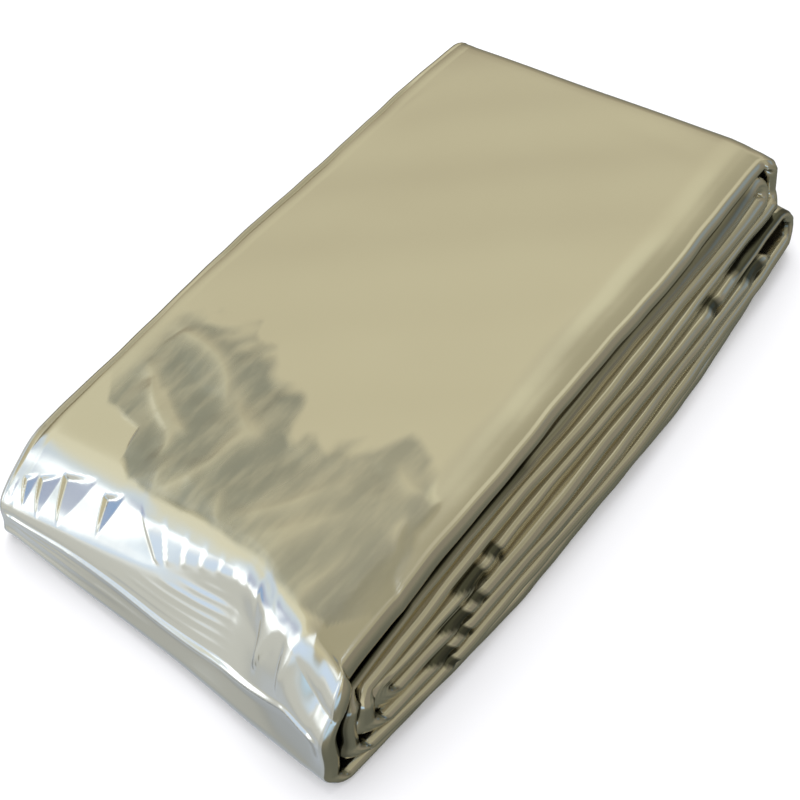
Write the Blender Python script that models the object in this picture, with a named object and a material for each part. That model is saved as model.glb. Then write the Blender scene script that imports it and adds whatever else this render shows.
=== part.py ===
"""An emergency foil blanket, folded flat to its storage size.

The blanket is one cut sheet of very thin metallised film. It is folded lengthwise into a strip as wide as
the pack, and the strip is then folded across into a flat pack. The strip is modelled here as one closed
sheet that runs back and forth through the pack in eight layers, where each layer stands for all the plies
of film that lie pressed together in it.

+X runs along the pack to its far end, +Y across it to its left side, +Z up. The pack lies on z = 0.
"""

import math
from collections import namedtuple

import bmesh
import bpy

MM = 0.001

# ---- Driving sizes, in millimetres

STACK_HEIGHT = 22.7
LAYER_COUNT = 8
LAYER_GAP = 0.55
LAYER_THICKNESS = (STACK_HEIGHT - (LAYER_COUNT - 1) * LAYER_GAP) / LAYER_COUNT
LAYER_PITCH = LAYER_THICKNESS + LAYER_GAP

# The middle of the footprint lies at the origin, and the tables below measure y from the line that the
# pack was folded along, which lies this far to the left of it.
FOLD_LINE_Y = 2.8

# The order in which the strip passes through the layers, counted from the floor up. It starts and ends at
# the far end, so each second turn is at the near end.
FOLD_ORDER = (3, 6, 7, 2, 4, 5, 8, 1)
FREE_END_X = {3: 57.0, 1: 66.0}

# Near end: the turns lie one inside the other, and lean back at this angle over sharp noses.
WRAP_SLOPE = math.radians(54.0)
OUTER_NOSE_X = -66.7
NOSE_RADIUS = LAYER_PITCH / 2
SHOULDER_RADIUS = 2.5
NOSE_STEP = LAYER_PITCH / math.tan(WRAP_SLOPE / 2)
INNER_TURN_X = -48.2

# Far end: the upright turns, one row for each. The middle of the sheet reaches x, with rounded corners.
FarTurn = namedtuple("FarTurn", "low_layer high_layer x corner_radius")
FAR_TURNS = (
    FarTurn(2, 4, 67.2, 2.7),
    FarTurn(5, 8, 65.8, 1.7),
    FarTurn(6, 7, 62.4, LAYER_PITCH / 2),
)

# Each layer's side edges, as they were left by the folding: one row for each layer, from the floor up,
# with the edge's y at the four places along the pack that EDGE_PLACES_X gives.
EDGE_PLACES_X = (-58.0, -28.0, 18.0, 62.0)
LayerEdges = namedtuple("LayerEdges", "right left")
LAYERS = (
    LayerEdges((-43.6, -45.1, -44.6, -40.3), (39.6, 38.4, 38.2, 38.0)),
    LayerEdges((-43.9, -45.4, -44.9, -41.0), (40.0, 38.8, 38.4, 38.9)),
    LayerEdges((-43.2, -44.9, -44.0, -40.4), (39.2, 38.1, 37.8, 37.6)),
    LayerEdges((-42.7, -43.9, -42.6, -39.4), (39.9, 39.2, 38.6, 38.4)),
    LayerEdges((-41.9, -42.4, -41.0, -38.2), (38.8, 38.4, 38.1, 38.0)),
    LayerEdges((-41.3, -41.0, -39.6, -37.2), (39.6, 39.0, 38.6, 38.9)),
    LayerEdges((-40.6, -39.6, -38.4, -35.9), (39.3, 38.2, 37.9, 38.2)),
    LayerEdges((-40.5, -38.8, -37.0, -34.9), (38.9, 38.4, 38.8, 39.3)),
)
EDGE_WAVE_HEIGHT = 0.25
EDGE_WAVE_LENGTH = 52.0
EDGE_WAVE_STEP = 1.7
EDGE_OVERRUN = 6.0

# The near end is not square. For places across the pack: how far its top edge and its nose lie from the
# straight fold, and how far the slope between them bulges out. The top edge is dented at y = -18.
NearPlace = namedtuple("NearPlace", "y shoulder_shift nose_shift bulge")
NEAR_EDGE = (
    NearPlace(-43.0, -2.4, 1.9, 3.4),
    NearPlace(-37.0, -1.4, 1.1, 2.2),
    NearPlace(-26.0, 0.5, 0.4, 0.4),
    NearPlace(-18.0, 2.7, 0.3, 0.0),
    NearPlace(-8.0, 1.6, 0.2, 0.6),
    NearPlace(5.0, 0.6, -0.3, 1.4),
    NearPlace(21.0, -1.2, -1.1, 2.6),
    NearPlace(40.0, -3.0, -1.5, 3.8),
)
BULGE_LIFT = 1.3
NEAR_SHIFT_FULL_X = -46.0
NEAR_SHIFT_NONE_X = -6.0

# The film of the outer turn is gathered into pleats that run down its slope from the top edge: the foot and
# the crest of each pleat across the pack, and how far the crest stands out.
Pleat = namedtuple("Pleat", "foot_y crest_y height")
PLEATS = (
    Pleat(-36.0, -31.5, 0.8),
    Pleat(-27.0, -22.5, 0.6),
    Pleat(-13.5, -9.0, 0.5),
    Pleat(-4.5, 0.0, 0.6),
    Pleat(4.5, 9.0, 0.8),
    Pleat(13.5, 18.5, 1.0),
    Pleat(22.0, 27.0, 1.0),
    Pleat(30.5, 34.0, 0.8),
)
PLEATED_EDGES = LayerEdges(-40.5, 38.9)
PLEAT_START_SHARE = 0.15
PLEAT_RISE_SHARE = 0.40
PLEAT_SHOULDER_SHARE = 0.40

# The pack is pressed thinner towards its near left corner, and less and less away from it.
PRESS_DEPTH = 0.33
PRESS_START_X = -58.0
PRESS_LENGTH = 42.0
PRESS_RIGHT_Y = -40.0
PRESS_LEFT_Y = 40.0

# The side edges of each layer are folded film, so they round off.
RimPlace = namedtuple("RimPlace", "inset thickness_share")
RIM = (
    RimPlace(0.0, 0.34),
    RimPlace(0.8, 0.80),
    RimPlace(2.4, 1.0),
)
END_SHARE = 0.55
END_INSET = 1.6

# ---- Mesh steps

RUN_STEPS = 7
NOSE_STEPS = 5
SHOULDER_STEPS = 3
UPRIGHT_CORNER_STEPS = 3
SLANT_STEP = 5.0
SHORTEST_STRAIGHT = 0.05

Corner = namedtuple("Corner", "x z radius steps")

# One station of the strip's section: its place and heading, and how far it has gone from one layer's edges
# to the next one's.
Station = namedtuple("Station", "x z heading layer_from layer_to share")


def layer_z(layer):
    """Height of the middle of a layer above the floor."""
    return LAYER_THICKNESS / 2 + (layer - 1) * LAYER_PITCH


def near_corners(low, high):
    """The two corners of the turn at the near end that joins two layers, low corner first."""
    if high == low + 1:
        return (
            Corner(INNER_TURN_X, layer_z(low), NOSE_RADIUS, UPRIGHT_CORNER_STEPS),
            Corner(INNER_TURN_X, layer_z(high), NOSE_RADIUS, UPRIGHT_CORNER_STEPS),
        )
    nose_x = OUTER_NOSE_X + (low - 1) * NOSE_STEP
    shoulder_x = nose_x + (layer_z(high) - layer_z(low)) / math.tan(WRAP_SLOPE)
    return (
        Corner(nose_x, layer_z(low), NOSE_RADIUS, NOSE_STEPS),
        Corner(shoulder_x, layer_z(high), SHOULDER_RADIUS, SHOULDER_STEPS),
    )


def far_corners(low, high):
    """The two corners of the turn at the far end that joins two layers, low corner first."""
    turn = next(turn for turn in FAR_TURNS if (turn.low_layer, turn.high_layer) == (low, high))
    return (
        Corner(turn.x, layer_z(low), turn.corner_radius, UPRIGHT_CORNER_STEPS),
        Corner(turn.x, layer_z(high), turn.corner_radius, UPRIGHT_CORNER_STEPS),
    )


def turn_corners(turn):
    """The two corners of one turn of the strip, in the order in which the strip passes them."""
    start, stop = FOLD_ORDER[turn], FOLD_ORDER[turn + 1]
    low, high = min(start, stop), max(start, stop)
    pair = near_corners(low, high) if turn % 2 == 0 else far_corners(low, high)
    return pair if start < stop else pair[::-1]


def rounded(before, corner, after):
    """Points round one corner of the section: x, z and heading of each."""
    heading_in = math.atan2(corner.z - before.z, corner.x - before.x)
    heading_out = math.atan2(after.z - corner.z, after.x - corner.x)
    turn = (heading_out - heading_in + math.pi) % (2 * math.pi) - math.pi
    reach = corner.radius * math.tan(abs(turn) / 2)
    swing = math.copysign(corner.radius, turn)
    centre_x = corner.x - reach * math.cos(heading_in) - swing * math.sin(heading_in)
    centre_z = corner.z - reach * math.sin(heading_in) + swing * math.cos(heading_in)
    headings = [heading_in + turn * step / corner.steps for step in range(corner.steps + 1)]
    return [
        (centre_x + swing * math.sin(heading), centre_z - swing * math.cos(heading), heading)
        for heading in headings
    ]


def straight(start, stop_x, stop_z, steps, layers, share):
    """Stations on the straight between a station and a point, with neither of the two."""
    step_x = (stop_x - start.x) / steps
    step_z = (stop_z - start.z) / steps
    heading = math.atan2(step_z, step_x)
    places = [(start.x + step_x * step, start.z + step_z * step) for step in range(1, steps)]
    return [Station(x, z, heading, *layers, share) for x, z in places]


def cut_end(layer, heading):
    """The two stations at a cut end of the strip, the outer one first."""
    outer = Station(FREE_END_X[layer], layer_z(layer), heading, layer, layer, 0.0)
    return [outer, outer._replace(x=outer.x - END_INSET)]


def strip_section():
    """All the stations along the strip, from cut end to cut end."""
    stations = cut_end(FOLD_ORDER[0], math.pi)
    last_end = cut_end(FOLD_ORDER[-1], 0.0)[::-1]
    turns = [turn_corners(turn) for turn in range(len(FOLD_ORDER) - 1)]
    before = stations[-1]
    for turn, (first, second) in enumerate(turns):
        start, stop = FOLD_ORDER[turn], FOLD_ORDER[turn + 1]
        after = turns[turn + 1][0] if turn + 1 < len(turns) else last_end[0]
        leaving = rounded(before, first, second)
        entering = rounded(first, second, after)
        stations += straight(stations[-1], *leaving[0][:2], RUN_STEPS, (start, start), 0.0)
        for step, point in enumerate(leaving):
            stations.append(Station(*point, start, stop, 0.5 * step / first.steps))
        upright = math.dist(leaving[-1][:2], entering[0][:2])
        if upright < SHORTEST_STRAIGHT:
            stations.pop()
        else:
            steps = max(1, round(upright / SLANT_STEP))
            stations += straight(stations[-1], *entering[0][:2], steps, (start, stop), 0.5)
        for step, point in enumerate(entering):
            stations.append(Station(*point, start, stop, 0.5 + 0.5 * step / second.steps))
        before = second
    stations += straight(stations[-1], last_end[0].x, last_end[0].z, RUN_STEPS, (stop, stop), 0.0)
    return stations + last_end


def layer_edge(layer, side, x):
    """The y of one side edge of a layer: a smooth curve through its stated places, and a small wave."""
    x = min(max(x, EDGE_PLACES_X[0] - EDGE_OVERRUN), EDGE_PLACES_X[-1] + EDGE_OVERRUN)
    edge = 0.0
    for place_x, place_y in zip(EDGE_PLACES_X, getattr(LAYERS[layer - 1], side)):
        for other_x in EDGE_PLACES_X:
            if other_x != place_x:
                place_y *= (x - other_x) / (place_x - other_x)
        edge += place_y
    phase = EDGE_WAVE_STEP * layer + LayerEdges._fields.index(side)
    return edge + EDGE_WAVE_HEIGHT * math.sin(2 * math.pi * x / EDGE_WAVE_LENGTH + phase)


def station_edge(station, side):
    """The y of one side edge of the strip at a station, on its way from layer to layer."""
    leaving = layer_edge(station.layer_from, side, station.x)
    entering = layer_edge(station.layer_to, side, station.x)
    return leaving + (entering - leaving) * station.share


def near_place(y):
    """The near end's shifts and bulge at a place across the pack, straight between the rows."""
    if y <= NEAR_EDGE[0].y:
        return NEAR_EDGE[0]
    for low, high in zip(NEAR_EDGE, NEAR_EDGE[1:]):
        if y <= high.y:
            along = (y - low.y) / (high.y - low.y)
            return NearPlace(*(start + (stop - start) * along for start, stop in zip(low, high)))
    return NEAR_EDGE[-1]


def smooth_share(value):
    """Smooth rise from 0 at 0 to 1 at 1."""
    value = min(max(value, 0.0), 1.0)
    return value * value * (3.0 - 2.0 * value)


def settled(x, y, z):
    """Where a point of the square, even pack comes to lie in the real, uneven one, in metres."""
    height_share = min(max(z / STACK_HEIGHT, 0.0), 1.0)
    place = near_place(y)
    shift = place.nose_shift + (place.shoulder_shift - place.nose_shift) * smooth_share(height_share)
    shift -= place.bulge * math.sin(math.pi * height_share**BULGE_LIFT) ** 2
    fade = smooth_share((NEAR_SHIFT_NONE_X - x) / (NEAR_SHIFT_NONE_X - NEAR_SHIFT_FULL_X))
    across = min(max((y - PRESS_RIGHT_Y) / (PRESS_LEFT_Y - PRESS_RIGHT_Y), 0.0), 1.0)
    press = PRESS_DEPTH * math.exp(-max(x - PRESS_START_X, 0.0) / PRESS_LENGTH) * across
    return ((x + shift * fade) * MM, (y + FOLD_LINE_Y) * MM, z * (1.0 - press) * MM)


def across_places(right, left):
    """Points across the strip: the y of each, the share of the thickness, and the pleats' height there."""
    places = [(right + rim.inset, rim.thickness_share, 0.0) for rim in RIM]
    pleated_width = PLEATED_EDGES.left - PLEATED_EDGES.right
    for pleat in PLEATS:
        for pleat_y, height in ((pleat.foot_y, 0.0), (pleat.crest_y, pleat.height)):
            along = (pleat_y - PLEATED_EDGES.right) / pleated_width
            places.append((right + (left - right) * along, 1.0, height))
    places += [(left - rim.inset, rim.thickness_share, 0.0) for rim in reversed(RIM)]
    return places


def pleat_share(station):
    """How fully the pleats stand out at a station: all on the outer turn's slope, none at its nose."""
    if (station.layer_from, station.layer_to) != (LAYER_COUNT, 1):
        return 0.0
    below_top_edge = min(station.share / PLEAT_SHOULDER_SHARE, 1.0)
    above_nose = smooth_share((station.z / STACK_HEIGHT - PLEAT_START_SHARE) / PLEAT_RISE_SHARE)
    return below_top_edge * above_nose


def station_rows(station, thickness_limit):
    """The points across the strip at one station, on its upper and on its lower face."""
    upper = []
    lower = []
    pleated = pleat_share(station)
    rests_flat = station.layer_from == station.layer_to == 1
    side_x, side_z = -math.sin(station.heading), math.cos(station.heading)
    for y, share, height in across_places(station_edge(station, "right"), station_edge(station, "left")):
        half = LAYER_THICKNESS / 2 * min(share, thickness_limit)
        x = station.x - height * pleated * math.sin(WRAP_SLOPE)
        z = station.z + height * pleated * math.cos(WRAP_SLOPE)
        lower_z = 0.0 if rests_flat else z - half * side_z
        upper.append(settled(x + half * side_x, y, z + half * side_z))
        lower.append(settled(x - half * side_x, y, lower_z))
    return upper, lower


def bridge(sheet, first_row, second_row):
    """Four-sided faces between two rows of points."""
    for index in range(len(first_row) - 1):
        corners = (first_row[index], first_row[index + 1], second_row[index + 1], second_row[index])
        sheet.faces.new(corners)


def foil_mesh(name):
    """The strip as one closed sheet: an upper and a lower face, joined all round its rim."""
    stations = strip_section()
    sheet = bmesh.new()
    upper = []
    lower = []
    for station in stations:
        thickness_limit = END_SHARE if station in (stations[0], stations[-1]) else 1.0
        upper_row, lower_row = station_rows(station, thickness_limit)
        upper.append([sheet.verts.new(point) for point in upper_row])
        lower.append([sheet.verts.new(point) for point in lower_row])
    for face in (upper, lower):
        for row, next_row in zip(face, face[1:]):
            bridge(sheet, row, next_row)
    for end in (0, -1):
        bridge(sheet, upper[end], lower[end])
        bridge(sheet, [row[end] for row in upper], [row[end] for row in lower])
    bmesh.ops.recalc_face_normals(sheet, faces=sheet.faces)
    mesh = bpy.data.meshes.new(name)
    sheet.to_mesh(mesh)
    sheet.free()
    return mesh


def foil_material():
    """Bright metallised film of a pale champagne silver."""
    material = bpy.data.materials.new("champagne_silver_foil")
    material.use_nodes = True
    shader = material.node_tree.nodes["Principled BSDF"]
    shader.inputs["Base Color"].default_value = (0.72, 0.68, 0.56, 1.0)
    shader.inputs["Metallic"].default_value = 1.0
    shader.inputs["Roughness"].default_value = 0.28
    return material


def foil_blanket():
    """The folded blanket as one object."""
    mesh = foil_mesh("foil_blanket")
    mesh.materials.append(foil_material())
    mesh.shade_smooth()
    mesh.set_sharp_from_angle(angle=math.radians(50.0))
    blanket = bpy.data.objects.new("foil_blanket", mesh)
    bpy.context.scene.collection.objects.link(blanket)
    return blanket


for leftover in list(bpy.data.objects):
    bpy.data.objects.remove(leftover, do_unlink=True)
foil_blanket()
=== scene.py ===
"""The looks of a folded emergency foil blanket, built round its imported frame.

+X runs along the pack to its far end, +Y across it to its left side, +Z up. The pack lies on z = 0.
"""

import math
from collections import namedtuple

import bmesh
import bpy
import numpy as np
from mathutils import Matrix, Vector


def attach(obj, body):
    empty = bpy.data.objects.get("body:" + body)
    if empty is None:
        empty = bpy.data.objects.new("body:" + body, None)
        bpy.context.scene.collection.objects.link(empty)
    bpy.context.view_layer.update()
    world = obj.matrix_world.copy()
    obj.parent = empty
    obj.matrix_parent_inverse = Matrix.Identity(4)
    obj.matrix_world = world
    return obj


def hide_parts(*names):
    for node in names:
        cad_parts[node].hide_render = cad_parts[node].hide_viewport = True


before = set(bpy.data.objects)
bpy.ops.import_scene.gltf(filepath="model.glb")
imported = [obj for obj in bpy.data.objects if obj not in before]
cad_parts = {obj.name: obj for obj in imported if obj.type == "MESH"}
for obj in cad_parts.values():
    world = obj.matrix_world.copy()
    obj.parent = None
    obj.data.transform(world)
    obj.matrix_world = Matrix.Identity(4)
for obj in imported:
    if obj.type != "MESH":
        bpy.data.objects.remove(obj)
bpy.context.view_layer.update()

# ==== The film ====
# One sheet of thin metallised film, folded lengthwise into a strip and then across into a flat pack of eight
# layers, each of 32 plies pressed together. The strip is one closed sheet along its folded path, and the
# creases of its top, its near end and its sides are pressed into it.

MM = 0.001


def table(columns, *rows):
    """A short table with named columns."""
    row_type = namedtuple("Row", columns)
    return [row_type(*row) for row in rows]


STACK_HEIGHT = 22.7
LAYER_COUNT = 8
LAYER_GAP = 0.55
LAYER_THICKNESS = (STACK_HEIGHT - (LAYER_COUNT - 1) * LAYER_GAP) / LAYER_COUNT
LAYER_PITCH = LAYER_THICKNESS + LAYER_GAP
FOLD_LINE_Y = 2.8
FOLD_ORDER = (3, 6, 7, 2, 4, 5, 8, 1)
FREE_END_X = {3: 57.0, 1: 66.0}
END_INSET = 1.6
END_SHARE = 0.55

# Near end: the turns lie one inside the other and lean back. The outer one has the softer top edge.
WRAP_SLOPE = math.radians(54.0)
OUTER_NOSE_X = -66.7
NOSE_RADIUS = LAYER_PITCH / 2
SHOULDER_RADIUS = 2.5
TOP_EDGE_RADIUS = 5.0
NOSE_STEP = LAYER_PITCH / math.tan(WRAP_SLOPE / 2)
INNER_TURN_X = -48.2

FAR_TURNS = table(
    "low_layer high_layer x corner_radius",
    (2, 4, 67.2, 2.7),
    (5, 8, 65.8, 1.7),
    (6, 7, 62.4, LAYER_PITCH / 2),
)

# The y of each layer's side edges at four places along the pack, from the floor up.
EDGE_PLACES_X = (-58.0, -28.0, 18.0, 62.0)
LAYERS = table(
    "right left",
    ((-43.6, -45.1, -44.6, -40.3), (39.6, 38.4, 38.2, 38)),
    ((-43.9, -45.4, -44.9, -41), (40, 38.8, 38.4, 38.9)),
    ((-43.2, -44.9, -44, -40.4), (39.2, 38.1, 37.8, 37.6)),
    ((-42.7, -43.9, -42.6, -39.4), (39.9, 39.2, 38.6, 38.4)),
    ((-41.9, -42.4, -41, -38.2), (38.8, 38.4, 38.1, 38)),
    ((-41.3, -41, -39.6, -37.2), (39.6, 39, 38.6, 38.9)),
    ((-40.6, -39.6, -38.4, -35.9), (39.3, 38.2, 37.9, 38.2)),
    ((-40.5, -38.8, -37, -34.9), (38.9, 38.4, 38.8, 39.3)),
)
EDGE_WAVE_HEIGHT = 0.25
EDGE_WAVE_LENGTH = 52.0
EDGE_WAVE_STEP = 1.7
EDGE_OVERRUN = 6.0

# The near end is not square: how far its top edge and its nose lie from the straight fold, and how far the
# slope between them bulges out.
NEAR_EDGE = table(
    "y shoulder_shift nose_shift bulge",
    (-43, -6, 1.9, 0.9),
    (-37, -4.6, 1.1, 0.9),
    (-31, -2.4, 0.7, 0.7),
    (-25, -0.5, 0.4, 0.4),
    (-17, 1.9, 0.3, 0),
    (-8, 1.6, 0.2, 0.6),
    (5, 0.6, -0.3, 1.4),
    (21, -1.2, -1.1, 2.6),
    (40, -3, -1.5, 3.8),
)
BULGE_LIFT = 1.3
NEAR_SHIFT_X = (-6.0, -46.0)

# The pack is pressed thinner towards its near left corner.
PRESS_DEPTH = 0.33
PRESS_START_X = -58.0
PRESS_LENGTH = 42.0
PRESS_Y = (-40.0, 40.0)

# Mesh steps: rows along the strip, and columns across the faces that show.
FINE_STEP = 0.55
COARSE_STEP = 1.5
STEP_CHANGE_X = -12.0
OUTER_SLOPE_STEP = 0.25
HIDDEN_SLOPE_STEP = 1.0
NOSE_STEPS = 9
SHOULDER_STEPS = 5
TOP_EDGE_STEPS = 14
UPRIGHT_CORNER_STEPS = 6
SHOWN_COLUMNS = 214
COLUMN_SAMPLES = 801
COLUMN_PLACES = table(
    "share density",
    (0.25, 1),
    (0.32, 0.75),
    (0.6, 0.75),
    (0.68, 1.6),
)
HIDDEN_COLUMNS = 3
SHORTEST_STRAIGHT = 0.05

# Where the shown columns lie, as shares of the way from the right rim to the left one.
samples = np.linspace(0.0, 1.0, COLUMN_SAMPLES)
passed = np.cumsum(np.interp(samples, *zip(*COLUMN_PLACES)))
passed = (passed - passed[0]) / (passed[-1] - passed[0])
COLUMN_SHARES = np.interp(np.arange(1, SHOWN_COLUMNS + 1) / (SHOWN_COLUMNS + 1), passed, samples)

Corner = namedtuple("Corner", "x z radius steps")
Station = namedtuple("Station", "x z heading layers share")


def layer_z(layer):
    """Height of the middle of a layer above the floor."""
    return LAYER_THICKNESS / 2 + (layer - 1) * LAYER_PITCH


def upright_corners(low, high, x, radius):
    """The two corners of an upright turn that joins two layers, low corner first."""
    return tuple(Corner(x, layer_z(layer), radius, UPRIGHT_CORNER_STEPS) for layer in (low, high))


def near_corners(low, high):
    """The two corners of the near turn that joins two layers, low corner first."""
    if high == low + 1:
        return upright_corners(low, high, INNER_TURN_X, NOSE_RADIUS)
    nose_x = OUTER_NOSE_X + (low - 1) * NOSE_STEP
    shoulder_x = nose_x + (layer_z(high) - layer_z(low)) / math.tan(WRAP_SLOPE)
    outer = high == LAYER_COUNT
    radius, steps = (TOP_EDGE_RADIUS, TOP_EDGE_STEPS) if outer else (SHOULDER_RADIUS, SHOULDER_STEPS)
    return (
        Corner(nose_x, layer_z(low), NOSE_RADIUS, NOSE_STEPS),
        Corner(shoulder_x, layer_z(high), radius, steps),
    )


def far_corners(low, high):
    """The two corners of the far turn that joins two layers, low corner first."""
    turn = next(turn for turn in FAR_TURNS if (turn.low_layer, turn.high_layer) == (low, high))
    return upright_corners(low, high, turn.x, turn.corner_radius)


def turn_corners(turn):
    """The two corners of one turn, in the order in which the strip passes them."""
    start, stop = FOLD_ORDER[turn : turn + 2]
    low, high = min(start, stop), max(start, stop)
    pair = near_corners(low, high) if turn % 2 == 0 else far_corners(low, high)
    return pair if start < stop else pair[::-1]


def rounded(before, corner, after):
    """Points round one corner of the path: x, z and heading of each."""
    heading_in = math.atan2(corner.z - before.z, corner.x - before.x)
    heading_out = math.atan2(after.z - corner.z, after.x - corner.x)
    turn = (heading_out - heading_in + math.pi) % (2 * math.pi) - math.pi
    reach = corner.radius * math.tan(abs(turn) / 2)
    swing = math.copysign(corner.radius, turn)
    centre_x = corner.x - reach * math.cos(heading_in) - swing * math.sin(heading_in)
    centre_z = corner.z - reach * math.sin(heading_in) + swing * math.cos(heading_in)
    headings = [heading_in + turn * step / corner.steps for step in range(corner.steps + 1)]
    return [
        (centre_x + swing * math.sin(heading), centre_z - swing * math.cos(heading), heading)
        for heading in headings
    ]


def run_places(start_x, stop_x):
    """The x of the rows along a flat run, closer together in the creased near part of the pack."""
    fine_steps = [max((STEP_CHANGE_X - x) / FINE_STEP, 0.0) for x in (start_x, stop_x)]
    coarse_steps = [max((x - STEP_CHANGE_X) / COARSE_STEP, 0.0) for x in (start_x, stop_x)]
    start, stop = (coarse - fine for coarse, fine in zip(coarse_steps, fine_steps))
    count = math.ceil(abs(stop - start))
    steps = [start + (stop - start) * step / count for step in range(1, count)]
    return [STEP_CHANGE_X + step * (COARSE_STEP if step > 0 else FINE_STEP) for step in steps]


def strip_path():
    """All the stations along the strip, from cut end to cut end."""
    first, last = FOLD_ORDER[0], FOLD_ORDER[-1]
    outer_end = Station(FREE_END_X[first], layer_z(first), math.pi, (first, first), 0.0)
    stations = [outer_end, outer_end._replace(x=outer_end.x - END_INSET)]
    last_outer = Station(FREE_END_X[last], layer_z(last), 0.0, (last, last), 0.0)
    last_end = [last_outer._replace(x=last_outer.x - END_INSET), last_outer]
    turns = [turn_corners(turn) for turn in range(len(FOLD_ORDER) - 1)]
    before = stations[-1]
    for turn, (corner_in, corner_out) in enumerate(turns):
        start, stop = joined = FOLD_ORDER[turn : turn + 2]
        after = turns[turn + 1][0] if turn + 1 < len(turns) else last_end[0]
        leaving = rounded(before, corner_in, corner_out)
        entering = rounded(corner_in, corner_out, after)
        heading = leaving[0][2]
        for x in run_places(stations[-1].x, leaving[0][0]):
            stations.append(Station(x, layer_z(start), heading, (start, start), 0.0))
        for step, point in enumerate(leaving):
            stations.append(Station(*point, joined, 0.5 * step / corner_in.steps))
        upright = math.dist(leaving[-1][:2], entering[0][:2])
        if upright < SHORTEST_STRAIGHT:
            stations.pop()
        else:
            outer = joined == (LAYER_COUNT, 1)
            count = max(1, round(upright / (OUTER_SLOPE_STEP if outer else HIDDEN_SLOPE_STEP)))
            for step in range(1, count):
                x, z = (a + (b - a) * step / count for a, b in zip(leaving[-1][:2], entering[0][:2]))
                stations.append(Station(x, z, leaving[-1][2], joined, 0.5))
        for step, point in enumerate(entering):
            stations.append(Station(*point, joined, 0.5 + 0.5 * step / corner_out.steps))
        before = corner_out
    for x in run_places(stations[-1].x, last_end[0].x):
        stations.append(Station(x, layer_z(last), 0.0, (last, last), 0.0))
    return stations + last_end


def clipped(value):
    """A value held between 0 and 1."""
    return np.clip(value, 0.0, 1.0)


def smooth_share(value):
    """Smooth rise from 0 at 0 to 1 at 1."""
    value = clipped(value)
    return value * value * (3.0 - 2.0 * value)


def ramp(value, start, stop):
    """Smooth rise from 0 at one place to 1 at another."""
    return smooth_share((value - start) / (stop - start))


def curve_across(rows, column, y):
    """A smooth curve across the pack through one column of a table, level beyond its ends."""
    places = np.array([row.y for row in rows])
    values = np.array([getattr(row, column) for row in rows])
    slopes = np.gradient(values, places)
    slopes[0] = slopes[-1] = 0.0
    y = np.clip(y, places[0], places[-1])
    index = np.clip(np.searchsorted(places, y, side="right") - 1, 0, len(places) - 2)
    width = places[index + 1] - places[index]
    along = (y - places[index]) / width
    steady = values[index] + (values[index + 1] - values[index]) * along * along * (3.0 - 2.0 * along)
    leaving = slopes[index] * width * along * (1.0 - along) ** 2
    entering = slopes[index + 1] * width * along * along * (1.0 - along)
    return steady + leaving - entering


# The film's edges are never quite straight: each layer's edge wanders a little on its own.
WANDER_HEIGHT = 0.035
WANDER_LENGTHS = (9.0, 14.5, 23.0)
WANDER_TURN = 2.4
WANDER_SIDE_TURN = 5.0


def layer_edge(layer, side, x):
    """The y of one side edge of a layer, with its waves."""
    x = min(max(x, EDGE_PLACES_X[0] - EDGE_OVERRUN), EDGE_PLACES_X[-1] + EDGE_OVERRUN)
    edge = 0.0
    for place_x, place_y in zip(EDGE_PLACES_X, getattr(LAYERS[layer - 1], side)):
        for other_x in EDGE_PLACES_X:
            if other_x != place_x:
                place_y *= (x - other_x) / (place_x - other_x)
        edge += place_y
    side_index = ("right", "left").index(side)
    phase = EDGE_WAVE_STEP * layer + side_index
    edge += EDGE_WAVE_HEIGHT * math.sin(2 * math.pi * x / EDGE_WAVE_LENGTH + phase)
    for length in WANDER_LENGTHS:
        phase = WANDER_TURN * layer * length + WANDER_SIDE_TURN * side_index
        edge += WANDER_HEIGHT * math.sin(2 * math.pi * x / length + phase)
    return edge


def station_edge(station, side):
    """The y of one side edge of the strip at a station, on its way from layer to layer."""
    leaving, entering = (layer_edge(layer, side, station.x) for layer in station.layers)
    return leaving + (entering - leaving) * station.share


# At the right side the top layer's edge is rolled over and takes more height than the others.
ROLL_Y = (-31.0, -38.0)
ROLL_LIFT_FROM = 20.1
ROLL_LIFT_TO_NEAR = 15.9
ROLL_LIFT_TO_FAR = 18.4
ROLL_LIFT_X = (-46.0, -12.0)
ROLL_DEPTH = 2.2

# Its near corner hangs down over the turns inside.
CORNER_DROOP = 1.5
CORNER_DROOP_Z = (11.0, STACK_HEIGHT)
CORNER_DROOP_X = (-40.0, -54.0)
CORNER_DROOP_Y = (-30.0, -43.0)


def settled(x, y, z):
    """Where points of the square, even pack come to lie in the real, uneven one, in millimetres."""
    height_share = clipped(z / STACK_HEIGHT)
    shoulder_shift, nose_shift, bulge = (
        curve_across(NEAR_EDGE, column, y) for column in ("shoulder_shift", "nose_shift", "bulge")
    )
    shift = nose_shift + (shoulder_shift - nose_shift) * smooth_share(height_share)
    shift -= bulge * np.sin(math.pi * height_share**BULGE_LIFT) ** 2
    press = PRESS_DEPTH * np.exp(-np.maximum(x - PRESS_START_X, 0.0) / PRESS_LENGTH)
    press = press * clipped((y - PRESS_Y[0]) / (PRESS_Y[1] - PRESS_Y[0]))
    lift_to = ROLL_LIFT_TO_NEAR + (ROLL_LIFT_TO_FAR - ROLL_LIFT_TO_NEAR) * ramp(x, *ROLL_LIFT_X)
    above_lift = (z - ROLL_LIFT_FROM) * (STACK_HEIGHT - lift_to) / (STACK_HEIGHT - ROLL_LIFT_FROM) + lift_to
    rolled_z = np.where(z < ROLL_LIFT_FROM, z * lift_to / ROLL_LIFT_FROM, above_lift)
    hang = ramp(z, *CORNER_DROOP_Z) * ramp(x, *CORNER_DROOP_X) * ramp(y, *CORNER_DROOP_Y)
    z = z + (rolled_z - z) * ramp(y, *ROLL_Y) - CORNER_DROOP * hang
    return np.stack((x + shift * ramp(x, *NEAR_SHIFT_X), y + FOLD_LINE_Y, z * (1.0 - press)), axis=-1)
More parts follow.
